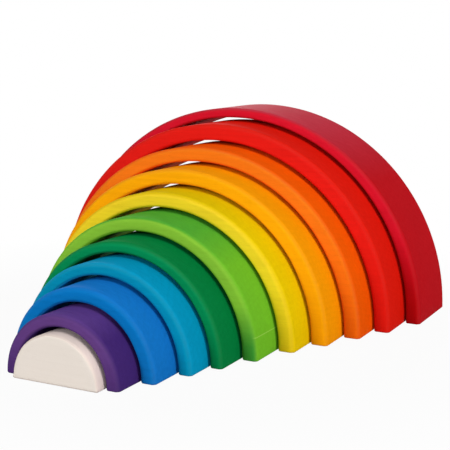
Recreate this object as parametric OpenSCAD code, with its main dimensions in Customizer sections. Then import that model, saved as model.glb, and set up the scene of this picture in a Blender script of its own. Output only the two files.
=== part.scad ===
// Nesting rainbow of loose wooden arches round a solid half disc, drawn out in a stagger.
// Millimetres. +Z is up, +X runs across the arches, -Y faces the front.
// The origin lies on the floor, in the middle of the drawn-out row.

/* [Set] */
// How deep every piece is from its front face to its back face
depth = 72; // [40:0.5:100]
// Clear space between the feet of one piece and the next, as the saw leaves it
saw_gap = 1.4; // [0.8:0.1:4]
// How far the middle of each inner curve lies above the floor, which opens the gap at the top
inner_rise = 1.8; // [0.5:0.1:2.3]
// How far the scarlet arch stands taller than half its width
scarlet_crown = 2.5; // [0:0.1:4]
// Radius of the rounded edges round the outside of each arch, front and back
rim_round = 3.2; // [1.5:0.1:5]
// Radius of the rounded edges round the hollow of each arch, front and back
mouth_round = 1.6; // [1:0.1:3]
// Radius of the rounded corners round the feet
foot_round = 1.2; // [0.8:0.1:3]
// Radius of the rounded edges of the half disc
half_round_edge = 1.8; // [1:0.1:5]

/* [Sizes] */
// Radius of the solid half disc in the middle
half_round_radius = 37.3; // [25:0.1:50]
// Wall at the feet of the violet arch
violet_wall = 11.3; // [9.8:0.1:18]
// Wall at the feet of the blue arch
blue_wall = 12.6; // [9.8:0.1:18]
// Wall at the feet of the teal arch
teal_wall = 11.4; // [9.8:0.1:18]
// Wall at the feet of the dark green arch
dark_green_wall = 10.7; // [9.8:0.1:18]
// Wall at the feet of the light green arch
light_green_wall = 13.1; // [9.8:0.1:18]
// Wall at the feet of the yellow arch
yellow_wall = 14; // [9.8:0.1:18]
// Wall at the feet of the amber arch
amber_wall = 14.5; // [9.8:0.1:18]
// Wall at the feet of the orange arch
orange_wall = 14.4; // [9.8:0.1:18]
// Wall at the feet of the scarlet arch
scarlet_wall = 13.7; // [9.8:0.1:18]
// Wall at the feet of the crimson arch
crimson_wall = 13; // [9.8:0.1:18]

/* [Stagger] */
// How far the half disc stands out in front of the violet arch
half_round_draw = 7.5; // [0:0.5:60]
// How far the violet arch stands out in front of the blue arch
violet_draw = 25; // [0:0.5:60]
// How far the blue arch stands out in front of the teal arch
blue_draw = 29; // [0:0.5:60]
// How far the teal arch stands out in front of the dark green arch
teal_draw = 25; // [0:0.5:60]
// How far the dark green arch stands out in front of the light green arch
dark_green_draw = 29; // [0:0.5:60]
// How far the light green arch stands out in front of the yellow arch
light_green_draw = 34; // [0:0.5:60]
// How far the yellow arch stands out in front of the amber arch
yellow_draw = 29; // [0:0.5:60]
// How far the amber arch stands out in front of the orange arch
amber_draw = 31; // [0:0.5:60]
// How far the orange arch stands out in front of the scarlet arch
orange_draw = 29; // [0:0.5:60]
// How far the scarlet arch stands out in front of the crimson arch
scarlet_draw = 37.5; // [0:0.5:60]

/* [Hidden] */
$fn = 96;

// How far every trimming shape runs past the piece it trims
overrun = 6;
// How far the foot corner circles stand proud of the faces they round, so they meet at an angle
corner_proud = 0.15;

// Outer radius of each arch, built outward from the half disc
violet_radius = half_round_radius + saw_gap + violet_wall;
blue_radius = violet_radius + saw_gap + blue_wall;
teal_radius = blue_radius + saw_gap + teal_wall;
dark_green_radius = teal_radius + saw_gap + dark_green_wall;
light_green_radius = dark_green_radius + saw_gap + light_green_wall;
yellow_radius = light_green_radius + saw_gap + yellow_wall;
amber_radius = yellow_radius + saw_gap + amber_wall;
orange_radius = amber_radius + saw_gap + orange_wall;
scarlet_radius = orange_radius + saw_gap + scarlet_wall;
crimson_radius = scarlet_radius + saw_gap + crimson_wall;

// Front face of each piece along Y, counted back from the half disc
row_length = depth + half_round_draw + violet_draw + blue_draw + teal_draw + dark_green_draw
    + light_green_draw + yellow_draw + amber_draw + orange_draw + scarlet_draw;
half_round_front = -row_length / 2;
violet_front = half_round_front + half_round_draw;
blue_front = violet_front + violet_draw;
teal_front = blue_front + blue_draw;
dark_green_front = teal_front + teal_draw;
light_green_front = dark_green_front + dark_green_draw;
yellow_front = light_green_front + light_green_draw;
amber_front = yellow_front + yellow_draw;
orange_front = amber_front + amber_draw;
scarlet_front = orange_front + orange_draw;
crimson_front = scarlet_front + scarlet_draw;

// Section of the hollow under an arch: a round tunnel with a flared, rounded mouth at each end
module hollow_section(inner) {
    difference() {
        union() {
            translate([0, -overrun])
                square([inner, depth + 2 * overrun]);
            for (along = [-overrun, depth - mouth_round + corner_proud])
                translate([0, along])
                    square([inner + mouth_round, mouth_round - corner_proud + overrun]);
        }
        for (along = [mouth_round - corner_proud, depth - mouth_round + corner_proud])
            translate([inner + mouth_round, along])
                circle(r = mouth_round);
    }
}

// Section of a round piece: from its middle line out to a rounded rim
module disc_section(outer, rim) {
    union() {
        square([outer - rim, depth]);
        translate([0, rim])
            square([outer, depth - 2 * rim]);
        for (along = [rim, depth - rim])
            translate([outer - rim, along])
                circle(r = rim);
    }
}

// Front view that keeps all above the floor and rounds a foot between two distances from the middle
module foot_view(near, far) {
    translate([near, 0])
        square([far - near, foot_round + overrun]);
    for (middle = [near, far])
        translate([middle, foot_round])
            circle(r = foot_round);
}

// Everything above the rounded foot corners, wide enough for one arch
module above_feet(outer) {
    translate([-outer - overrun, foot_round])
        square([2 * (outer + overrun), outer + overrun]);
}

// Middle of the corner circle at the outer side of a foot
function far_corner(outer, crown) = sqrt(outer * outer - (foot_round - crown) * (foot_round - crown))
    + corner_proud - foot_round;

// Middle of the corner circle at the inner side of a foot
function near_corner(inner, rise) = sqrt(inner * inner - (foot_round - rise) * (foot_round - rise))
    - corner_proud + foot_round;

// Side view of a piece with its two floor edges rounded
module side_view() {
    union() {
        translate([foot_round - corner_proud, -corner_proud])
            square([depth - 2 * foot_round + 2 * corner_proud, foot_round + overrun]);
        translate([-overrun, foot_round - corner_proud])
            square([depth + 2 * overrun, crimson_radius + overrun]);
        for (along = [foot_round - corner_proud, depth - foot_round + corner_proud])
            translate([along, foot_round - corner_proud])
                circle(r = foot_round);
    }
}

// Trims a round piece to what stands on the floor, with its floor edges rounded front and back
module side_trim(outer) {
    translate([-outer - overrun, 0, 0])
        rotate([90, 0, 90])
            linear_extrude(height = 2 * (outer + overrun))
                side_view();
}

// One arch, its front face at y = 0 and its back face at y = depth: the middle of its inner
// curve lies above the floor by rise, and the middle of its outer curve by crown
module arch(inner, outer, rise, crown) {
    difference() {
        intersection() {
            translate([0, depth, crown])
                rotate([90, 0, 0])
                    rotate_extrude()
                        disc_section(outer, rim_round);
            translate([0, depth + overrun, 0])
                rotate([90, 0, 0])
                    linear_extrude(height = depth + 2 * overrun)
                        union() {
                            above_feet(outer);
                            foot_view(near_corner(inner, rise), far_corner(outer, crown));
                            mirror([1, 0])
                                foot_view(near_corner(inner, rise), far_corner(outer, crown));
                        }
            side_trim(outer);
        }
        translate([0, depth, rise])
            rotate([90, 0, 0])
                rotate_extrude()
                    hollow_section(inner);
    }
}

// The solid half disc, its front face at y = 0 and its back face at y = depth
module half_disc(outer) {
    intersection() {
        translate([0, depth, 0])
            rotate([90, 0, 0])
                rotate_extrude()
                    disc_section(outer, half_round_edge);
        translate([0, depth + overrun, 0])
            rotate([90, 0, 0])
                linear_extrude(height = depth + 2 * overrun)
                    union() {
                        above_feet(outer);
                        foot_view(-far_corner(outer, 0), far_corner(outer, 0));
                    }
        side_trim(outer);
    }
}

module half_round() {
    color("#E4DBD0")
        translate([0, half_round_front, 0])
            half_disc(half_round_radius);
}

module violet_arch() {
    color("#4B2D74")
        translate([0, violet_front, 0])
            arch(half_round_radius + saw_gap, violet_radius, inner_rise, 0);
}

module blue_arch() {
    color("#1974B9")
        translate([0, blue_front, 0])
            arch(violet_radius + saw_gap, blue_radius, inner_rise, 0);
}

module teal_arch() {
    color("#028CB0")
        translate([0, teal_front, 0])
            arch(blue_radius + saw_gap, teal_radius, inner_rise, 0);
}

module dark_green_arch() {
    color("#04743B")
        translate([0, dark_green_front, 0])
            arch(teal_radius + saw_gap, dark_green_radius, inner_rise, 0);
}

module light_green_arch() {
    color("#7EB73E")
        translate([0, light_green_front, 0])
            arch(dark_green_radius + saw_gap, light_green_radius, inner_rise, 0);
}

module yellow_arch() {
    color("#ECD020")
        translate([0, yellow_front, 0])
            arch(light_green_radius + saw_gap, yellow_radius, inner_rise, 0);
}

module amber_arch() {
    color("#F7A004")
        translate([0, amber_front, 0])
            arch(yellow_radius + saw_gap, amber_radius, inner_rise, 0);
}

module orange_arch() {
    color("#F07018")
        translate([0, orange_front, 0])
            arch(amber_radius + saw_gap, orange_radius, inner_rise, 0);
}

module scarlet_arch() {
    color("#E02014")
        translate([0, scarlet_front, 0])
            arch(orange_radius + saw_gap, scarlet_radius, inner_rise, scarlet_crown);
}

module crimson_arch() {
    color("#B81A24")
        translate([0, crimson_front, 0])
            arch(scarlet_radius + saw_gap, crimson_radius, inner_rise + scarlet_crown, 0);
}

half_round();
violet_arch();
blue_arch();
teal_arch();
dark_green_arch();
light_green_arch();
yellow_arch();
amber_arch();
orange_arch();
scarlet_arch();
crimson_arch();
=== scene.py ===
import math

import bpy
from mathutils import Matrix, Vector


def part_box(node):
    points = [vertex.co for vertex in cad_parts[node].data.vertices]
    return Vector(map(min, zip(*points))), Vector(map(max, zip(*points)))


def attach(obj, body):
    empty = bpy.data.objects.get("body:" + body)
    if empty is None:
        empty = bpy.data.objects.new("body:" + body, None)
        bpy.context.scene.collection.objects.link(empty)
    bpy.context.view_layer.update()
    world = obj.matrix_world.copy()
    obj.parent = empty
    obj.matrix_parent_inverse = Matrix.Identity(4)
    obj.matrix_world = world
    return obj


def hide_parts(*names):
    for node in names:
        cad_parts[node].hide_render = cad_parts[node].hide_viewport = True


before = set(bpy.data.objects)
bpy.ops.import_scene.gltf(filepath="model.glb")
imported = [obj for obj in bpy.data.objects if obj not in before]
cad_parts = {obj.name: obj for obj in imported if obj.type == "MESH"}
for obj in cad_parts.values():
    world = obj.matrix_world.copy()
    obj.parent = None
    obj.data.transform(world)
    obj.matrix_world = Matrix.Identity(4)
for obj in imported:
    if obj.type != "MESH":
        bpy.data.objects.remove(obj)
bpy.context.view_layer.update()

# Sizes of the set, in metres
DEPTH = 0.072
SAW_GAP = 0.0014
INNER_RISE = 0.0018
SCARLET_CROWN = 0.0025
RIM_ROUND = 0.0032
MOUTH_ROUND = 0.0016
FOOT_ROUND = 0.0012
HALF_ROUND_EDGE = 0.0018
HALF_ROUND_RADIUS = 0.0373

# Arches from the inside out: body, wall at the feet, stain on the round sides, and on the sawn faces a
# paler stain that is partly painted sheen
ARCHES = [
    ("violet_arch", 0.0113, (68, 40, 114), (98, 62, 130)),
    ("blue_arch", 0.0126, (18, 120, 204), (4, 120, 196)),
    ("teal_arch", 0.0114, (0, 154, 198), (0, 146, 182)),
    ("dark_green_arch", 0.0107, (0, 126, 62), (0, 140, 82)),
    ("light_green_arch", 0.0131, (116, 194, 42), (138, 198, 58)),
    ("yellow_arch", 0.0140, (240, 206, 0), (250, 216, 42)),
    ("amber_arch", 0.0145, (254, 160, 0), (254, 174, 4)),
    ("orange_arch", 0.0144, (248, 94, 0), (246, 126, 22)),
    ("scarlet_arch", 0.0137, (230, 26, 10), (228, 30, 22)),
    ("crimson_arch", 0.0130, (194, 12, 24), (216, 22, 46)),
]

# Some arches have painted light over the crown of the round side, a paler sheen on some and a darker
# shade on others: colour and share of it
CROWN_PAINTED_LIGHT = {
    "violet_arch": ((94, 62, 138), 0.8),
    "light_green_arch": ((78, 170, 52), 0.9),
    "yellow_arch": ((228, 198, 0), 0.8),
    "crimson_arch": ((200, 60, 84), 0.55),
}

# Two arches have a painted shadow low on the sawn faces: colour and share of it
FOOT_SHADOWS = {
    "light_green_arch": ((48, 148, 52), 0.9),
    "crimson_arch": ((188, 6, 10), 0.9),
}

# The half disc keeps its natural colour, with painted shade a little darker over the crown
NATURAL_STAINS_AND_SHADE = {"Side": (238, 220, 212), "Face": (236, 226, 216), "Crown": (214, 200, 192)}

# How strongly each effect shows on the half disc and on the arches
NATURAL_AMOUNTS = {"Grain": 0.08, "Fleck": 0.15, "Ring": 0.03, "Wear": 0.2, "Crown": 0.9, "Foot": 0.0}
ARCH_AMOUNTS = {"Grain": 0.45, "Fleck": 0.3, "Ring": 0.12, "Wear": 0.05}

# Pale scratch on the light green foot: height above the floor, line, soft edge, strength and colour
SCRATCH_HEIGHT = 0.0185
SCRATCH_LINE = 0.0001
SCRATCH_FADE = 0.0005
SCRATCH_SHARE = 0.4
SCRATCH_COLOUR = (186, 222, 110)

# Share of the face's stain and painted sheen that is left at the feet, so the faces are painted darker
# low down, and how far up it comes to full strength
FACE_STAIN_AND_SHEEN_AT_FOOT = 0.4
FACE_STAIN_AND_SHEEN_RISE = 0.7

# The painted shadow on the feet is full up to this share of the way to the crown, and then fades
FOOT_SHADOW_TOP = 0.1
FOOT_SHADOW_FADE = 0.35

# Where the painted light over the crown sets in, by how far the round side faces up
CROWN_START = 0.45
CROWN_FADE = 0.4

# Grain along X: marks per metre along and across it, then detail and roughness
STREAK_GRAIN = ((14.0, 320.0, 320.0), 5.0, 0.6)
FLECK_GRAIN = ((150.0, 1500.0, 1500.0), 2.0, 0.5)
CLOUD_GRAIN = ((16.0, 26.0, 26.0), 3.0, 0.5)
FLECK_START = 0.62
FLECK_FADE = 0.10

# How far along the grain each arch is cut from the one before
GRAIN_SHIFT = 0.37

# Growth rings: depth of their heart under the floor, spacing, how far they wander and how sharp they are
HEART_DEPTH = 0.16
RING_SPACING = 0.0045
RING_WANDER = 0.006
RING_SHARPNESS = 3.0

# Relief of the grain: rings stand up and flecks lie in beside the streaks
RING_RELIEF = 0.3
FLECK_RELIEF = 0.5
RELIEF_STRENGTH = 0.12
RELIEF_DEPTH = 0.0004

# Uneven uptake of the stain: where patches and streaks begin, how wide they fade, and their shares
PATCH_START = 0.35
PATCH_FADE = 0.4
PATCH_SHARE = 0.45
STREAK_START = 0.35
STREAK_FADE = 0.35
STREAK_SHARE = 0.55

# Tint of deep stain, and how much of it is painted as shade low on the sawn faces and along the edges,
# where it darkens the lit rims
DEEP_TINT = (0.72, 0.66, 0.62, 1.0)
LOW_FACE_SHADE = 0.4
EDGE_SHADE = 0.25

# Rubbed edges: the bare wood, how much of it shows, and where the rubbing begins
BARE_WOOD = (0.86, 0.78, 0.66, 1.0)
BARE_SHARE = 0.3
RUBBED_WEIGHT = 0.6
RUBBED_START = 0.4
RUBBED_FADE = 0.45

# Dull oiled wood: roughness, what streaks and flecks add to it, and a faint sheen
ROUGHNESS = 0.62
STREAK_ROUGHNESS = 0.22
FLECK_ROUGHNESS = 0.08
SHEEN = 0.04

# Hand sanding: its depth, and the shares of broad waves and of bites along the edges
SANDING = 0.0007
WAVE_SHARE = 0.5
BITE_SHARE = 1.2

# Waves and bites per metre on an arch: along the curve, across the wall, through the depth
ARCH_WAVES = (30.0, 25.0, 25.0)
ARCH_BITES = (60.0, 60.0, 20.0)

# Waves and bites per metre on the half disc: along the curve, through the depth
DISC_WAVES = (40.0, 25.0)
DISC_BITES = (60.0, 20.0)

# Seeds of the sanding: the half disc, the first arch, the step to the next one, and waves to bites
DISC_SEED = 1.0
ARCH_SEED = 3.0
ARCH_SEED_STEP = 2.0
BITE_SEED_STEP = 40.0

# Steps along an arch, round its feet, round each edge of its section and along each flat of it
ARC_STEPS = 96
FOOT_STEPS = 6
CORNER_STEPS = 4
FLAT_STEPS = 6

# Steps over the top of the half disc, round its bottom corners, round its rim and through its depth
DISC_TOP_STEPS = 64
DISC_CORNER_STEPS = 8
DISC_RIM_STEPS = 6
DISC_DEPTH_STEPS = 8

# Strip of narrow faces beside each rounded edge of an arch, at most a share of the flat
EDGE_STRIP = 0.0015
EDGE_STRIP_SHARE = 0.25

# Face of the half disc: height of its middle point and size of the ring round it, as shares
FACE_MIDDLE = 0.42
FACE_RING = 0.9

# Points closer than this are joined where the seams meet
SEAM = 0.00002

# Half a step tells whole step numbers apart
HALF_STEP = 0.5

# A right angle
QUARTER_TURN = math.pi / 2


def plain_colour(red, green, blue):
    """A colour written in picture values from 0 to 255, as light values for the shaders."""
    values = []
    for value in (red, green, blue):
        share = value / 255
        if share <= 0.04045:
            values.append(share / 12.92)
        else:
            values.append(((share + 0.055) / 1.055) ** 2.4)
    return (values[0], values[1], values[2], 1.0)


# Helpers that keep the node trees short

def add_sockets(tree, way, kind, names):
    """Named inputs or outputs of a node tree."""
    for name in names:
        tree.interface.new_socket(name, in_out=way, socket_type=kind)


def feed(tree, socket, value):
    """Links a socket to another one, or sets it to a plain value."""
    if isinstance(value, bpy.types.NodeSocket):
        tree.links.new(value, socket)
    else:
        socket.default_value = value


def add_node(tree, kind, **settings):
    node = tree.nodes.new(kind)
    for name, value in settings.items():
        setattr(node, name, value)
    return node


def calc(tree, operation, *values):
    """One step of arithmetic on fields or numbers."""
    node = add_node(tree, "ShaderNodeMath", operation=operation)
    for socket, value in zip(node.inputs, values):
        feed(tree, socket, value)
    return node.outputs[0]


def add(tree, *values):
    total = values[0]
    for value in values[1:]:
        total = calc(tree, "ADD", total, value)
    return total


def times(tree, *values):
    product = values[0]
    for value in values[1:]:
        product = calc(tree, "MULTIPLY", product, value)
    return product


def minus(tree, first, second):
    return calc(tree, "SUBTRACT", first, second)


def share_of(tree, value, start, width):
    """Runs from 0 to 1 while value goes from start to start plus width."""
    node = add_node(tree, "ShaderNodeClamp")
    feed(tree, node.inputs["Value"], calc(tree, "DIVIDE", minus(tree, value, start), width))
    return node.outputs[0]


def within(tree, value, limit):
    """Value kept between minus limit and limit."""
    low = calc(tree, "MULTIPLY", limit, -1.0)
    return calc(tree, "MAXIMUM", calc(tree, "MINIMUM", value, limit), low)


def pick(tree, condition, if_true, if_false):
    """One of two values: condition is 1 or 0."""
    return add(tree, times(tree, condition, minus(tree, if_true, if_false)), if_false)


def vector_of(tree, *values):
    node = add_node(tree, "ShaderNodeCombineXYZ")
    for socket, value in zip(node.inputs, values):
        feed(tree, socket, value)
    return node.outputs[0]


def mask(tree, name):
    """A named value that a shape tree left on the mesh, or 0 where the mesh has none."""
    return add_node(tree, "ShaderNodeAttribute", attribute_name=name).outputs["Fac"]


def blend(tree, share, first, second, way="MIX"):
    """The first colour going over to the second by a share."""
    node = add_node(tree, "ShaderNodeMix", data_type="RGBA", blend_type=way)
    feed(tree, node.inputs[0], share)
    feed(tree, node.inputs[6], first)
    feed(tree, node.inputs[7], second)
    return node.outputs[2]


# Geometry Nodes trees for the two shapes of the set

def shape_tree(name, lengths):
    """An empty tree with named inputs for its lengths, a seed and a material."""
    tree = bpy.data.node_groups.new(name, "GeometryNodeTree")
    add_sockets(tree, "OUTPUT", "NodeSocketGeometry", ["Geometry"])
    add_sockets(tree, "INPUT", "NodeSocketFloat", lengths + ["Seed"])
    add_sockets(tree, "INPUT", "NodeSocketMaterial", ["Finish"])
    return tree, add_node(tree, "NodeGroupInput").outputs


def wrap_grid(tree, rows, columns):
    """A flat grid of points, with each point's row and column number."""
    grid = add_node(tree, "GeometryNodeMeshGrid")
    grid.inputs["Vertices X"].default_value = rows
    grid.inputs["Vertices Y"].default_value = columns
    index = add_node(tree, "GeometryNodeInputIndex").outputs[0]
    row = calc(tree, "FLOOR", calc(tree, "DIVIDE", add(tree, index, HALF_STEP), float(columns)))
    column = minus(tree, index, times(tree, row, float(columns)))
    return grid.outputs["Mesh"], row, column


def sanded_off(tree, size, spot, waves, bites, edge_mask):
    """Depth that sanding takes off: a little everywhere and more along the edges."""
    def unevenness(per_metre, seed):
        node = add_node(tree, "ShaderNodeTexNoise", noise_dimensions="4D")
        scaled = [times(tree, value, scale) for value, scale in zip(spot, per_metre)]
        feed(tree, node.inputs["Vector"], vector_of(tree, *scaled))
        feed(tree, node.inputs["W"], seed)
        feed(tree, node.inputs["Scale"], 1.0)
        feed(tree, node.inputs["Detail"], 1.0)
        return node.outputs[0]

    wave = unevenness(waves, size["Seed"])
    bite = unevenness(bites, add(tree, size["Seed"], BITE_SEED_STEP))
    amount = add(tree, times(tree, wave, WAVE_SHARE), times(tree, bite, edge_mask, BITE_SHARE))
    return times(tree, size["Sanding"], amount)


def close_shape(tree, mesh, place, masks, finish):
    """Puts the grid's points in place, keeps the masks by name, and closes the seams."""
    moved = add_node(tree, "GeometryNodeSetPosition")
    feed(tree, moved.inputs["Geometry"], mesh)
    feed(tree, moved.inputs["Position"], place)
    shape = moved.outputs[0]
    for name, value in masks.items():
        stored = add_node(tree, "GeometryNodeStoreNamedAttribute", data_type="FLOAT", domain="POINT")
        stored.inputs["Name"].default_value = name
        feed(tree, stored.inputs["Geometry"], shape)
        feed(tree, stored.inputs["Value"], value)
        shape = stored.outputs[0]
    merged = add_node(tree, "GeometryNodeMergeByDistance")
    merged.inputs["Distance"].default_value = SEAM
    feed(tree, merged.inputs["Geometry"], shape)
    smooth = add_node(tree, "GeometryNodeSetShadeSmooth")
    feed(tree, smooth.inputs["Geometry"], merged.outputs[0])
    realized = add_node(tree, "GeometryNodeRealizeInstances")
    feed(tree, realized.inputs["Geometry"], smooth.outputs[0])
    finished = add_node(tree, "GeometryNodeSetMaterial")
    feed(tree, finished.inputs["Geometry"], realized.outputs[0])
    feed(tree, finished.inputs["Material"], finish)
    output = add_node(tree, "NodeGroupOutput")
    feed(tree, output.inputs[0], finished.outputs[0])


def arch_tree():
    """Half a ring: a rounded wall section swept over the floor from foot to foot."""
    tree, size = shape_tree(
        "Wooden Arch",
        ["Outer Radius", "Wall", "Rise", "Crown", "Depth", "Front", "Rim Radius", "Mouth Radius",
         "Foot Radius", "Sanding"],
    )
    rows = 2 * (FOOT_STEPS + 1) + ARC_STEPS + 1
    side_steps = 2 * CORNER_STEPS + FLAT_STEPS + 2
    columns = 4 * side_steps + 1
    mesh, row, column = wrap_grid(tree, rows, columns)
    outer = size["Outer Radius"]
    rim = size["Rim Radius"]
    mouth = size["Mouth Radius"]
    foot = size["Foot Radius"]
    half_depth = times(tree, size["Depth"], 0.5)

    # Rows: a closing line under the foot, the rounded foot, the arc, and the same again
    from_end = calc(tree, "MINIMUM", row, minus(tree, float(rows - 1), row))
    closing = calc(tree, "LESS_THAN", from_end, HALF_STEP)
    up_foot = share_of(tree, from_end, 1.0, float(FOOT_STEPS))
    turn = times(tree, minus(tree, 1.0, up_foot), QUARTER_TURN)
    inset = times(tree, foot, minus(tree, 1.0, calc(tree, "COSINE", turn)))
    height = times(tree, foot, minus(tree, 1.0, calc(tree, "SINE", turn)))
    foot_middle = minus(tree, outer, times(tree, size["Wall"], 0.5))
    first_angle = calc(tree, "ARCSINE", calc(tree, "DIVIDE", foot, foot_middle))
    low_angle = calc(tree, "ARCSINE", calc(tree, "DIVIDE", height, foot_middle))
    along = share_of(tree, from_end, FOOT_STEPS + 1.0, ARC_STEPS / 2)
    risen = add(tree, low_angle, times(tree, along, minus(tree, QUARTER_TURN, first_angle)))
    far_half = calc(tree, "GREATER_THAN", row, (rows - 1) / 2)
    angle = pick(tree, far_half, minus(tree, math.pi, risen), risen)
    upward = calc(tree, "SINE", angle)
    sideways = calc(tree, "COSINE", angle)

    # A curve whose middle is lifted off the floor: inside, it makes the wall thinner at the top
    def curve(radius, lift):
        aside = times(tree, lift, sideways)
        squared = minus(tree, times(tree, radius, radius), times(tree, aside, aside))
        return add(tree, calc(tree, "SQRT", squared), times(tree, lift, upward))

    near = curve(minus(tree, outer, size["Wall"]), size["Rise"])
    far = curve(outer, size["Crown"])
    half_wall = times(tree, minus(tree, far, near), 0.5)
    middle = minus(tree, far, half_wall)

    # Columns: once round the wall section, with close steps at its four corners
    lap = calc(tree, "MODULO", add(tree, column, HALF_STEP), 4.0 * side_steps)
    side = calc(tree, "FLOOR", calc(tree, "DIVIDE", lap, float(side_steps)))
    step = minus(tree, minus(tree, lap, HALF_STEP), times(tree, side, float(side_steps)))
    on_side = [calc(tree, "COMPARE", side, float(number), HALF_STEP) for number in range(4)]

    def run(half, first_round, last_round):
        span = minus(tree, times(tree, half, 2.0), add(tree, first_round, last_round))
        strip = calc(tree, "MINIMUM", EDGE_STRIP, times(tree, span, EDGE_STRIP_SHARE))
        between = minus(tree, span, times(tree, strip, 2.0))
        corner = float(CORNER_STEPS)
        flat = float(FLAT_STEPS)
        parts = [
            times(tree, share_of(tree, step, 0.0, corner), first_round),
            times(tree, share_of(tree, step, corner, 1.0), strip),
            times(tree, share_of(tree, step, corner + 1.0, flat), between),
            times(tree, share_of(tree, step, corner + 1.0 + flat, 1.0), strip),
            times(tree, share_of(tree, step, corner + 2.0 + flat, corner), last_round),
        ]
        return minus(tree, add(tree, *parts), half)

    # The front face runs from mouth to rim, the outside has two rims, the back runs from rim to mouth
    run_front = run(half_wall, mouth, rim)
    run_back = run(half_wall, rim, mouth)
    run_outside = run(half_depth, rim, rim)
    run_inside = run(half_depth, mouth, mouth)
    square_wall = add(
        tree,
        times(tree, on_side[0], run_front),
        times(tree, on_side[1], half_wall),
        times(tree, on_side[2], run_back, -1.0),
        times(tree, on_side[3], half_wall, -1.0),
    )
    square_depth = add(
        tree,
        times(tree, on_side[0], half_depth, -1.0),
        times(tree, on_side[1], run_outside),
        times(tree, on_side[2], half_depth),
        times(tree, on_side[3], run_inside, -1.0),
    )

    # The square section rounded: a core point plus the edge radius along its normal
    outward = calc(tree, "GREATER_THAN", square_wall, 0.0)
    edge = pick(tree, outward, rim, mouth)
    core_wall = within(tree, square_wall, minus(tree, half_wall, edge))
    core_depth = within(tree, square_depth, minus(tree, half_depth, edge))
    out_wall = minus(tree, square_wall, core_wall)
    out_depth = minus(tree, square_depth, core_depth)
    squared = add(tree, times(tree, out_wall, out_wall), times(tree, out_depth, out_depth))
    length = calc(tree, "SQRT", squared)
    normal_wall = calc(tree, "DIVIDE", out_wall, length)
    normal_depth = calc(tree, "DIVIDE", out_depth, length)
    edge_mask = times(tree, calc(tree, "ABSOLUTE", times(tree, normal_wall, normal_depth)), 2.0)

    # Sanding and the rounded foot draw the surface in, and the closing line lies under the wall
    spot = (times(tree, angle, middle), square_wall, square_depth)
    taken = sanded_off(tree, size, spot, ARCH_WAVES, ARCH_BITES, edge_mask)
    reach = minus(tree, minus(tree, edge, inset), times(tree, taken, minus(tree, 1.0, closing)))
    whole_wall = add(tree, core_wall, times(tree, reach, normal_wall))
    whole_depth = add(tree, core_depth, times(tree, reach, normal_depth))
    line_depth = within(tree, core_depth, minus(tree, half_depth, half_wall))
    place_wall = pick(tree, closing, 0.0, whole_wall)
    place_depth = pick(tree, closing, line_depth, whole_depth)

    # Onto the arc that stands on the floor
    distance = add(tree, middle, place_wall)
    place = vector_of(
        tree,
        times(tree, distance, sideways),
        add(tree, size["Front"], half_depth, place_depth),
        times(tree, distance, upward),
    )

    # Masks for the stains, the painted sheen, light and shade, the wear and the scratch
    foot_mask = calc(tree, "SINE", times(tree, turn, 2.0))
    sawn_face = times(tree, normal_depth, normal_depth)
    # The sawn faces take a paler colour that is partly painted sheen; it fades towards the feet, which
    # paints them darker low down
    above_foot = share_of(tree, upward, 0.0, FACE_STAIN_AND_SHEEN_RISE)
    face_sheen_share = add(tree, times(tree, above_foot, 1.0 - FACE_STAIN_AND_SHEEN_AT_FOOT), FACE_STAIN_AND_SHEEN_AT_FOOT)
    # Painted shadow low on the sawn faces, where the arch in front shades them
    low = minus(tree, 1.0, share_of(tree, upward, FOOT_SHADOW_TOP, FOOT_SHADOW_FADE))
    masks = {
        "worn_and_shaded_edge": calc(tree, "MAXIMUM", edge_mask, foot_mask),
        "sawn_face": sawn_face,
        "face_stain": times(tree, sawn_face, face_sheen_share),
        "low_face_shadow": times(tree, sawn_face, low),
        "facing_up": times(tree, calc(tree, "MAXIMUM", normal_wall, 0.0), upward, upward),
    }
    close_shape(tree, mesh, place, masks, size["Finish"])
    return tree


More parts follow.
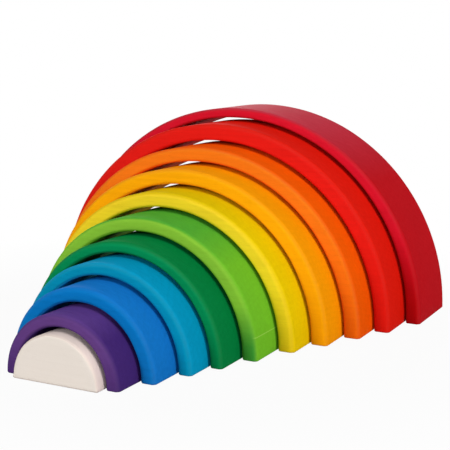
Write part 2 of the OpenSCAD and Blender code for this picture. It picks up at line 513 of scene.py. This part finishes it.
def half_disc_tree():
    """The solid half disc: its rounded front outline carried through the depth."""
    tree, size = shape_tree(
        "Wooden Half Disc", ["Radius", "Depth", "Front", "Edge Radius", "Foot Radius", "Sanding"]
    )
    columns = 3 * DISC_CORNER_STEPS + DISC_TOP_STEPS + 1
    rows = 2 * (DISC_RIM_STEPS + 2) + DISC_DEPTH_STEPS + 1
    mesh, row, column = wrap_grid(tree, rows, columns)
    radius = size["Radius"]
    edge = size["Edge Radius"]
    foot = size["Foot Radius"]

    # Rows: middle of the front face, a ring on it, the rounded rim, the rim's width, and back
    from_end = calc(tree, "MINIMUM", row, minus(tree, float(rows - 1), row))
    over_rim = share_of(tree, from_end, 2.0, float(DISC_RIM_STEPS))
    turn = times(tree, minus(tree, 1.0, over_rim), QUARTER_TURN)
    inset = times(tree, edge, minus(tree, 1.0, calc(tree, "COSINE", turn)))
    behind = times(tree, edge, minus(tree, 1.0, calc(tree, "SINE", turn)))
    along = share_of(tree, from_end, DISC_RIM_STEPS + 2.0, DISC_DEPTH_STEPS / 2)
    half_depth = times(tree, size["Depth"], 0.5)
    from_face = add(tree, behind, times(tree, along, minus(tree, half_depth, edge)))
    far_half = calc(tree, "GREATER_THAN", row, (rows - 1) / 2)
    deep = pick(tree, far_half, minus(tree, size["Depth"], from_face), from_face)
    ring = calc(tree, "COMPARE", from_end, 1.0, HALF_STEP)
    past_ring = calc(tree, "GREATER_THAN", from_end, 1.0 + HALF_STEP)
    spread = add(tree, times(tree, ring, FACE_RING), past_ring)

    # Columns: right corner, round top, left corner, flat base
    corner = float(DISC_CORNER_STEPS)
    arc = float(DISC_TOP_STEPS)
    inner = minus(tree, radius, foot)
    lean = calc(tree, "ARCSINE", calc(tree, "DIVIDE", foot, inner))
    corner_x = calc(tree, "SQRT", minus(tree, times(tree, inner, inner), times(tree, foot, foot)))
    corner_turn = add(tree, lean, QUARTER_TURN)
    top_turn = minus(tree, math.pi, times(tree, lean, 2.0))
    angle = add(
        tree,
        times(tree, share_of(tree, column, 0.0, corner), corner_turn),
        times(tree, share_of(tree, column, corner, arc), top_turn),
        times(tree, share_of(tree, column, corner + arc, corner), corner_turn),
        -QUARTER_TURN,
    )
    upward = calc(tree, "SINE", angle)
    sideways = calc(tree, "COSINE", angle)
    base = share_of(tree, column, 2 * corner + arc, corner)
    on_left = calc(tree, "GREATER_THAN", column, corner + arc / 2)
    past_right = calc(tree, "GREATER_THAN", column, corner + HALF_STEP)
    before_left = calc(tree, "LESS_THAN", column, corner + arc - HALF_STEP)
    on_top = times(tree, past_right, before_left)
    left_x = add(tree, times(tree, corner_x, -1.0), times(tree, base, corner_x, 2.0))
    side_x = pick(tree, on_left, left_x, corner_x)
    centre_x = times(tree, side_x, minus(tree, 1.0, on_top))
    centre_z = times(tree, foot, minus(tree, 1.0, on_top))
    rounding = pick(tree, on_top, radius, foot)

    # Sanding draws in the round top alone, and the face closes on its middle point
    rim_mask = calc(tree, "SINE", times(tree, turn, 2.0))
    spot = (times(tree, angle, radius), deep)
    taken = times(tree, sanded_off(tree, size, spot, DISC_WAVES, DISC_BITES, rim_mask), on_top)
    reach = minus(tree, minus(tree, rounding, inset), taken)
    rim_x = add(tree, centre_x, times(tree, reach, sideways))
    rim_z = add(tree, centre_z, times(tree, reach, upward))
    middle_z = times(tree, radius, FACE_MIDDLE)
    place = vector_of(
        tree,
        times(tree, rim_x, spread),
        add(tree, size["Front"], deep),
        add(tree, middle_z, times(tree, minus(tree, rim_z, middle_z), spread)),
    )
    face = calc(tree, "SINE", turn)
    # Masks for the wear with painted shade along the rim, the face's colour, and painted shade over the
    # crown
    masks = {
        "worn_and_shaded_edge": rim_mask,
        "face_stain": times(tree, face, face),
        "facing_up": times(tree, on_top, calc(tree, "COSINE", turn), upward, upward),
    }
    close_shape(tree, mesh, place, masks, size["Finish"])
    return tree


def shaped_piece(name, tree, values):
    """Runs a shape tree once and keeps its result as a plain mesh."""
    piece = bpy.data.objects.new(name, bpy.data.meshes.new(name))
    bpy.context.scene.collection.objects.link(piece)
    modifier = piece.modifiers.new("shape", "NODES")
    modifier.node_group = tree
    for item in tree.interface.items_tree:
        if item.item_type == "SOCKET" and item.in_out == "INPUT":
            modifier[item.identifier] = values[item.name]
    bpy.context.view_layer.update()
    evaluated = piece.evaluated_get(bpy.context.evaluated_depsgraph_get())
    solid = bpy.data.meshes.new_from_object(evaluated)
    piece.modifiers.clear()
    piece.data = solid
    solid.name = name
    return piece


# Shader node groups that all the wood shares

def wood_grain_group():
    """Grain of pale close wood that runs along X: soft streaks, short flecks and growth rings."""
    group = bpy.data.node_groups.new("Wood Grain", "ShaderNodeTree")
    add_sockets(group, "INPUT", "NodeSocketVector", ["Shift"])
    add_sockets(group, "INPUT", "NodeSocketFloat", ["Ring Spacing"])
    add_sockets(group, "OUTPUT", "NodeSocketFloat", ["Streaks", "Flecks", "Rings", "Cloud", "Height"])
    inputs = add_node(group, "NodeGroupInput").outputs
    output = add_node(group, "NodeGroupOutput").inputs
    where = add_node(group, "ShaderNodeTexCoord").outputs["Object"]
    shifted = add_node(group, "ShaderNodeVectorMath", operation="ADD")
    feed(group, shifted.inputs[0], where)
    feed(group, shifted.inputs[1], inputs["Shift"])

    def noise(per_metre, detail, roughness):
        mapped = add_node(group, "ShaderNodeMapping")
        feed(group, mapped.inputs["Vector"], shifted.outputs[0])
        mapped.inputs["Scale"].default_value = per_metre
        texture = add_node(group, "ShaderNodeTexNoise")
        feed(group, texture.inputs["Vector"], mapped.outputs[0])
        texture.inputs["Scale"].default_value = 1.0
        texture.inputs["Detail"].default_value = detail
        texture.inputs["Roughness"].default_value = roughness
        return texture.outputs[0]

    streaks = noise(*STREAK_GRAIN)
    flecks = share_of(group, noise(*FLECK_GRAIN), FLECK_START, FLECK_FADE)
    cloud = noise(*CLOUD_GRAIN)

    # Growth rings round a heart that lies under the set
    parts = add_node(group, "ShaderNodeSeparateXYZ")
    feed(group, parts.inputs[0], shifted.outputs[0])
    deep = parts.outputs[1]
    high = add(group, parts.outputs[2], HEART_DEPTH)
    from_heart = calc(group, "SQRT", add(group, times(group, deep, deep), times(group, high, high)))
    wandered = add(group, from_heart, times(group, cloud, RING_WANDER))
    ring_turn = calc(group, "DIVIDE", wandered, inputs["Ring Spacing"])
    rings = calc(group, "POWER", calc(group, "FRACT", ring_turn), RING_SHARPNESS)

    raised = add(group, streaks, times(group, rings, RING_RELIEF))
    feed(group, output["Streaks"], streaks)
    feed(group, output["Flecks"], flecks)
    feed(group, output["Rings"], rings)
    feed(group, output["Cloud"], cloud)
    feed(group, output["Height"], minus(group, raised, times(group, flecks, FLECK_RELIEF)))
    return group


def stain_and_painted_light_group():
    """Colour and roughness of stained wood: uneven uptake, grain, flecks and worn edges, with painted
    sheen on the faces, painted light over the crown and painted shade on the feet and edges.
    """
    group = bpy.data.node_groups.new("Stain", "ShaderNodeTree")
    for kind in ("Side", "Face", "Crown", "Foot"):
        add_sockets(group, "INPUT", "NodeSocketColor", [kind + " Stain"])
    add_sockets(group, "INPUT", "NodeSocketFloat", ["Streaks", "Flecks", "Rings", "Cloud"])
    for kind in ("Grain", "Fleck", "Ring", "Wear", "Crown", "Foot"):
        add_sockets(group, "INPUT", "NodeSocketFloat", [kind + " Amount"])
    add_sockets(group, "OUTPUT", "NodeSocketColor", ["Color"])
    add_sockets(group, "OUTPUT", "NodeSocketFloat", ["Roughness"])
    inputs = add_node(group, "NodeGroupInput").outputs
    output = add_node(group, "NodeGroupOutput").inputs
    streaks = inputs["Streaks"]
    flecks = inputs["Flecks"]
    cloud = inputs["Cloud"]
    worn_and_shaded_edge = mask(group, "worn_and_shaded_edge")
    low_face_shadow = mask(group, "low_face_shadow")

    # Stains of the round sides and of the sawn faces with their partly painted sheen, then painted light
    # and shade over the crown and painted shadow on the feet
    stain = blend(group, mask(group, "face_stain"), inputs["Side Stain"], inputs["Face Stain"])
    # Painted light over the crown: a paler painted sheen and a darker painted shade where the round side
    # faces up
    on_crown = share_of(group, mask(group, "facing_up"), CROWN_START, CROWN_FADE)
    stain = blend(group, times(group, on_crown, inputs["Crown Amount"]), stain, inputs["Crown Stain"])
    # Painted shadow low on the sawn faces
    stain = blend(group, times(group, low_face_shadow, inputs["Foot Amount"]), stain, inputs["Foot Stain"])

    # Deeper where the wood drank more: patches, streaks, rings and flecks; also painted shadow low on
    # the sawn faces and painted shade along the edges
    deep = blend(group, 1.0, stain, DEEP_TINT, "MULTIPLY")
    patches = times(group, share_of(group, cloud, PATCH_START, PATCH_FADE), PATCH_SHARE)
    lines = times(group, share_of(group, streaks, STREAK_START, STREAK_FADE), STREAK_SHARE)
    uptake = add(group, patches, lines)
    colour = blend(group, times(group, uptake, inputs["Grain Amount"]), stain, deep)
    # Painted shadow low on the sawn faces, and painted shade along the edges that tones down the lit
    # rims
    colour = blend(group, times(group, low_face_shadow, LOW_FACE_SHADE), colour, deep)
    colour = blend(group, times(group, worn_and_shaded_edge, EDGE_SHADE), colour, deep)
    colour = blend(group, times(group, inputs["Rings"], inputs["Ring Amount"]), colour, deep)
    colour = blend(group, times(group, flecks, inputs["Fleck Amount"]), colour, deep)

    # Bare wood where the edges are rubbed
    bare = blend(group, BARE_SHARE, stain, BARE_WOOD)
    rubbed = add(group, times(group, streaks, RUBBED_WEIGHT), times(group, cloud, RUBBED_WEIGHT))
    rubbed_share = share_of(group, rubbed, RUBBED_START, RUBBED_FADE)
    wear = times(group, worn_and_shaded_edge, rubbed_share, inputs["Wear Amount"])
    feed(group, output["Color"], blend(group, wear, colour, bare))

    rough_streaks = times(group, streaks, STREAK_ROUGHNESS)
    rough_flecks = times(group, flecks, FLECK_ROUGHNESS)
    feed(group, output["Roughness"], add(group, ROUGHNESS, rough_streaks, rough_flecks))
    return group


GRAIN = wood_grain_group()
STAIN_AND_PAINTED_LIGHT = stain_and_painted_light_group()


def wood_finish(name, stains_and_painted_light, amounts, shift):
    """A wood material: its stains and painted light by place, how much of each effect, and its shift
    along the grain.
    """
    material = bpy.data.materials.new(name)
    material.use_nodes = True
    tree = material.node_tree
    shader = tree.nodes["Principled BSDF"]
    grain = add_node(tree, "ShaderNodeGroup", node_tree=GRAIN)
    grain.inputs["Shift"].default_value = (shift, 0.0, 0.0)
    grain.inputs["Ring Spacing"].default_value = RING_SPACING
    colour = add_node(tree, "ShaderNodeGroup", node_tree=STAIN_AND_PAINTED_LIGHT)
    for kind, value in stains_and_painted_light.items():
        colour.inputs[kind + " Stain"].default_value = plain_colour(*value)
    for socket in ("Streaks", "Flecks", "Rings", "Cloud"):
        feed(tree, colour.inputs[socket], grain.outputs[socket])
    for kind, value in amounts.items():
        colour.inputs[kind + " Amount"].default_value = value
    feed(tree, shader.inputs["Base Color"], colour.outputs["Color"])
    feed(tree, shader.inputs["Roughness"], colour.outputs["Roughness"])
    bump = add_node(tree, "ShaderNodeBump")
    bump.inputs["Strength"].default_value = RELIEF_STRENGTH
    bump.inputs["Distance"].default_value = RELIEF_DEPTH
    feed(tree, bump.inputs["Height"], grain.outputs["Height"])
    feed(tree, shader.inputs["Normal"], bump.outputs[0])
    shader.inputs["Specular IOR Level"].default_value = SHEEN
    return material


def add_scratch(material, beyond):
    """A pale level line on the round sides of what lies beyond a distance along X."""
    tree = material.node_tree
    shader = tree.nodes["Principled BSDF"]
    stain = shader.inputs["Base Color"].links[0].from_socket
    where = add_node(tree, "ShaderNodeSeparateXYZ")
    feed(tree, where.inputs[0], add_node(tree, "ShaderNodeTexCoord").outputs["Object"])
    away = calc(tree, "ABSOLUTE", minus(tree, where.outputs[2], SCRATCH_HEIGHT))
    line = minus(tree, 1.0, share_of(tree, away, SCRATCH_LINE, SCRATCH_FADE))
    outside = calc(tree, "GREATER_THAN", where.outputs[0], beyond)
    round_side = minus(tree, 1.0, mask(tree, "sawn_face"))
    share = times(tree, line, outside, round_side, SCRATCH_SHARE)
    paler = blend(tree, share, stain, plain_colour(*SCRATCH_COLOUR))
    feed(tree, shader.inputs["Base Color"], paler)


# The eleven pieces

def dress(piece, node):
    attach(piece, node)
    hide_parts(node)


half_round = shaped_piece("half_round_wood", half_disc_tree(), {
    "Radius": HALF_ROUND_RADIUS,
    "Depth": DEPTH,
    "Front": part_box("half_round")[0].y,
    "Edge Radius": HALF_ROUND_EDGE,
    "Foot Radius": HALF_ROUND_EDGE,
    "Sanding": SANDING,
    "Seed": DISC_SEED,
    "Finish": wood_finish("natural_wood", NATURAL_STAINS_AND_SHADE, NATURAL_AMOUNTS, 0.0),
})
dress(half_round, "half_round")

arch_form = arch_tree()
outer_radius = HALF_ROUND_RADIUS
for number, (body, wall, side, face) in enumerate(ARCHES):
    outer_radius += SAW_GAP + wall
    # The crown's colour is painted light over the crown
    crown, crown_light_share = CROWN_PAINTED_LIGHT.get(body, (side, 0.0))
    # The foot's colour is a painted shadow low on the sawn faces
    foot, foot_shadow_share = FOOT_SHADOWS.get(body, (face, 0.0))
    finish = wood_finish(
        body.replace("arch", "stain"),
        {"Side": side, "Face": face, "Crown": crown, "Foot": foot},
        {**ARCH_AMOUNTS, "Crown": crown_light_share, "Foot": foot_shadow_share},
        GRAIN_SHIFT * (number + 1),
    )
    if body == "light_green_arch":
        add_scratch(finish, outer_radius - wall / 2)
    arch = shaped_piece(body + "_wood", arch_form, {
        "Outer Radius": outer_radius,
        "Wall": wall,
        "Rise": INNER_RISE + (SCARLET_CROWN if body == "crimson_arch" else 0.0),
        "Crown": SCARLET_CROWN if body == "scarlet_arch" else 0.0,
        "Depth": DEPTH,
        "Front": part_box(body)[0].y,
        "Rim Radius": RIM_ROUND,
        "Mouth Radius": MOUTH_ROUND,
        "Foot Radius": FOOT_ROUND,
        "Sanding": SANDING,
        "Seed": ARCH_SEED + ARCH_SEED_STEP * number,
        "Finish": finish,
    })
    dress(arch, body)


# White floor that keeps a faint shadow near the set

FLOOR_REACH = 8.0
FLOOR_LEVEL = -0.0002
FLOOR_GREY = 0.45
SHADOW_SHARE = 0.05
SHADOW_REACH = 0.20
SHADOW_FADE = 0.25


def seen_directly(tree):
    """1 for what the camera, gloss or glass sees, 0 for light that bounces."""
    path = add_node(tree, "ShaderNodeLightPath").outputs
    seen = calc(tree, "MAXIMUM", path["Is Camera Ray"], path["Is Glossy Ray"])
    return calc(tree, "MAXIMUM", seen, path["Is Transmission Ray"])


def white_floor():
    """White that the eye sees, with a small share of grey paint that takes the shadow."""
    material = bpy.data.materials.new("white_floor")
    material.use_nodes = True
    tree = material.node_tree
    tree.nodes.clear()
    where = add_node(tree, "ShaderNodeTexCoord").outputs["Object"]
    away = add_node(tree, "ShaderNodeVectorMath", operation="LENGTH")
    feed(tree, away.inputs[0], where)
    far = share_of(tree, away.outputs["Value"], SHADOW_REACH, SHADOW_FADE)
    white_share = add(tree, times(tree, far, SHADOW_SHARE), 1.0 - SHADOW_SHARE)
    paint = add_node(tree, "ShaderNodeBsdfDiffuse")
    paint.inputs["Color"].default_value = (FLOOR_GREY, FLOOR_GREY, FLOOR_GREY, 1.0)
    glow = add_node(tree, "ShaderNodeEmission")
    glow.inputs["Strength"].default_value = 1.0
    mixed = add_node(tree, "ShaderNodeMixShader")
    feed(tree, mixed.inputs[0], times(tree, white_share, seen_directly(tree)))
    feed(tree, mixed.inputs[1], paint.outputs[0])
    feed(tree, mixed.inputs[2], glow.outputs[0])
    output = add_node(tree, "ShaderNodeOutputMaterial")
    feed(tree, output.inputs["Surface"], mixed.outputs[0])
    return material


floor_corners = [
    (-FLOOR_REACH, -FLOOR_REACH, FLOOR_LEVEL),
    (FLOOR_REACH, -FLOOR_REACH, FLOOR_LEVEL),
    (FLOOR_REACH, FLOOR_REACH, FLOOR_LEVEL),
    (-FLOOR_REACH, FLOOR_REACH, FLOOR_LEVEL),
]
floor_mesh = bpy.data.meshes.new("floor")
floor_mesh.from_pydata(floor_corners, [], [(0, 1, 2, 3)])
floor_mesh.materials.append(white_floor())
floor = bpy.data.objects.new("floor", floor_mesh)
bpy.context.scene.collection.objects.link(floor)

# Soft studio light: an even surround that looks white, and five lamps
SURROUND = 0.28
world = bpy.data.worlds.new("studio")
bpy.context.scene.world = world
world.use_nodes = True
sky = world.node_tree.nodes["Background"]
sky.inputs["Color"].default_value = (1.0, 1.0, 1.0, 1.0)
seen = seen_directly(world.node_tree)
feed(world.node_tree, sky.inputs["Strength"], pick(world.node_tree, seen, 1.0, SURROUND))

# Lamps: name, place, width and watts, all aimed at one point in the set
LAMPS = [
    ("key", (-0.6, -2.05, 0.85), 0.7, 21.3),
    ("fill", (1.95, -0.5, 0.9), 0.8, 21.0),
    ("front", (0.95, -1.75, 0.45), 0.4, 4.0),
    ("top", (0.3, -0.6, 1.9), 1.0, 5.5),
    ("back", (-1.2, 1.9, 0.8), 1.0, 18.0),
]
LAMP_AIM = Vector((0.0, 0.0, 0.08))
for name, place, width, watts in LAMPS:
    light = bpy.data.lights.new(name, "AREA")
    light.shape = "DISK"
    light.size = width
    light.energy = watts
    lamp = bpy.data.objects.new(name, light)
    lamp.location = place
    aim = LAMP_AIM - Vector(place)
    lamp.rotation_euler = aim.to_track_quat("-Z", "Y").to_euler()
    bpy.context.scene.collection.objects.link(lamp)

# Camera at the photograph's viewing angle, aimed at the front plane of the crimson arch
AZIMUTH = math.radians(27.83)
ELEVATION = math.radians(10.01)
DISTANCE = 0.979
AIM_X = -0.0086
AIM_Z = 0.0718
LENS = 84.45
SENSOR = 36.0
target = Vector((AIM_X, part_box("crimson_arch")[0].y, AIM_Z))
back = Vector((
    math.sin(AZIMUTH) * math.cos(ELEVATION),
    -math.cos(AZIMUTH) * math.cos(ELEVATION),
    math.sin(ELEVATION),
))
camera_data = bpy.data.cameras.new("camera")
camera_data.sensor_width = SENSOR
camera_data.lens = LENS
camera = bpy.data.objects.new("camera", camera_data)
camera.location = target + DISTANCE * back
camera.rotation_euler = (-back).to_track_quat("-Z", "Y").to_euler()
bpy.context.scene.collection.objects.link(camera)
bpy.context.scene.camera = camera
bpy.context.scene.view_settings.view_transform = "Standard"
